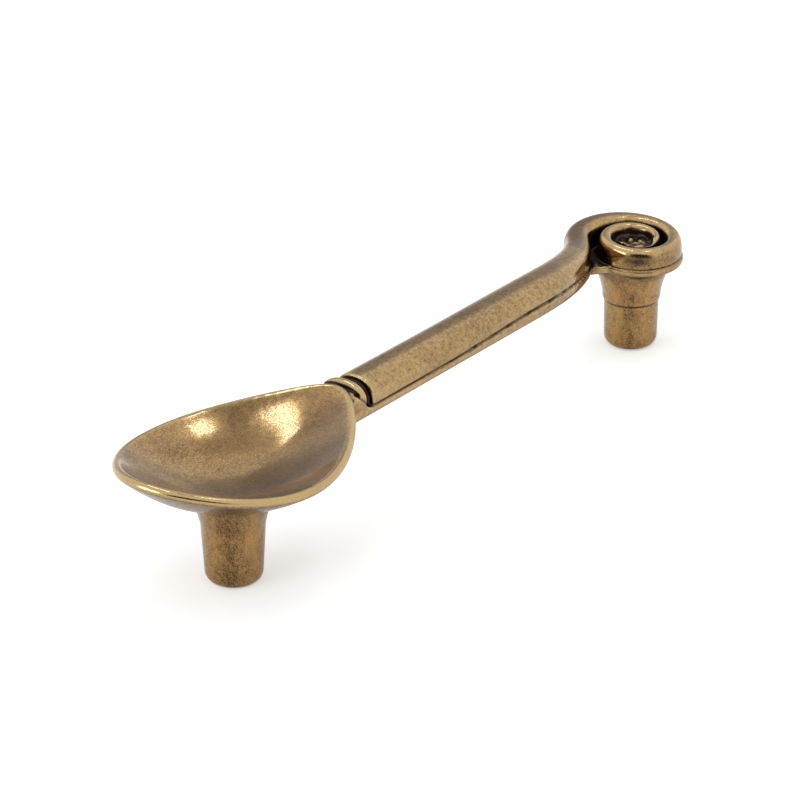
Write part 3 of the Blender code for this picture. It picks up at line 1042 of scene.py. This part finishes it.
studio = {
    "floorColour": "f4f4f2",
    "floorRoughness": 0.9,
    "floorShine": 0.1,
    "floorGlow": 0.45,  # as the camera sees it
    "mirroredGlow": 0.08,  # as the metal sees it
    "floorSize": 6.0,  # m
    "skyColour": "ffffff",
    "sky": 0.88,
    "lampColour": "e9f2ff",
    "blur": 0.03,
}
dimPatches = {  # duller parts of the room: degrees from +Y towards +X and above the floor
    "camera": {"bearing": -130.0, "height": 5.0, "size": 30.0, "level": 0.03},
    "room": {"bearing": 50.0, "height": 8.0, "size": 27.0, "level": 0.62},
    "corner": {"bearing": 46.0, "height": 21.0, "size": 13.0, "level": 0.37},
    "ceiling": {"bearing": 62.0, "height": 76.0, "size": 19.0, "level": 0.5},
}
softboxes = {  # degrees, and metres
    "left": {"bearing": -70.0, "height": 14.0, "distance": 1.1, "size": (0.7, 0.5), "level": 3.8},
    "overhead": {"bearing": 26.0, "height": 71.0, "distance": 1.1, "size": (0.11, 0.6), "level": 5.4},
    "right": {"bearing": 103.0, "height": 70.0, "distance": 1.1, "size": (0.14, 0.16), "level": 5.4},
}


def makeFloor():
    bm = bmesh.new()
    bmesh.ops.create_grid(bm, x_segments=1, y_segments=1, size=studio["floorSize"] / 2)
    mesh = bpy.data.meshes.new("floor")
    bm.to_mesh(mesh)
    bm.free()
    floor = bpy.data.objects.new("floor", mesh)
    bpy.context.scene.collection.objects.link(floor)
    material = bpy.data.materials.new("paleMattFloor")
    material.use_nodes = True
    tree = material.node_tree
    shader = tree.nodes["Principled BSDF"]
    shader.inputs["Base Color"].default_value = linear(studio["floorColour"])
    shader.inputs["Roughness"].default_value = studio["floorRoughness"]
    shader.inputs["Specular IOR Level"].default_value = studio["floorShine"]
    path = addNode(tree, "LightPath").outputs
    mirrored = addNode(tree, "Math", {0: path["Is Glossy Ray"], 1: path["Is Transmission Ray"]},
                       operation="MAXIMUM").outputs[0]
    glow = addNode(tree, "Math", {0: mirrored, 1: studio["mirroredGlow"]}, operation="MULTIPLY").outputs[0]
    glow = addNode(tree, "Mix", {0: path["Is Camera Ray"], 2: glow, 3: studio["floorGlow"]}).outputs[0]
    shader.inputs["Emission Color"].default_value = linear(studio["floorColour"])
    tree.links.new(glow, shader.inputs["Emission Strength"])
    mesh.materials.append(material)


def direction(bearing, height):
    a, h = math.radians(bearing), math.radians(height)
    return Vector((math.sin(a) * math.cos(h), math.cos(a) * math.cos(h), math.sin(h)))


def makeWorld():
    world = bpy.data.worlds.new("studio")
    bpy.context.scene.world = world
    world.use_nodes = True
    tree = world.node_tree
    background = tree.nodes["Background"]
    background.inputs["Color"].default_value = linear(studio["skyColour"])
    place = addNode(tree, "TexCoord").outputs["Generated"]
    level = studio["sky"]
    for patch in dimPatches.values():
        toward = addNode(tree, "VectorMath", {0: place, 1: direction(patch["bearing"], patch["height"])},
                         operation="DOT_PRODUCT").outputs["Value"]
        edge = math.cos(math.radians(patch["size"]))
        inside = addNode(tree, "MapRange", {"Value": toward, "From Min": edge - studio["blur"],
                                            "From Max": edge + studio["blur"]},
                         interpolation_type="SMOOTHSTEP").outputs[0]
        level = addNode(tree, "Mix", {0: inside, 2: level, 3: patch["level"]}).outputs[0]
    tree.links.new(level, background.inputs["Strength"])


def makeSoftbox(name, box):
    width, height = box["size"]
    data = bpy.data.lights.new(name, "AREA")
    data.shape = "RECTANGLE"
    data.size = width
    data.size_y = height
    data.color = linear(studio["lampColour"])[:3]
    data.energy = box["level"] * math.pi * width * height
    light = bpy.data.objects.new(name, data)
    toLight = direction(box["bearing"], box["height"])
    light.location = toLight * box["distance"]
    light.rotation_mode = "QUATERNION"
    light.rotation_quaternion = toLight.to_track_quat("Z", "Y")
    bpy.context.scene.collection.objects.link(light)


makeFloor()
makeWorld()
for boxName, box in softboxes.items():
    makeSoftbox(boxName + "Softbox", box)
bpy.context.scene.view_settings.view_transform = "Standard"
print("studio lit")
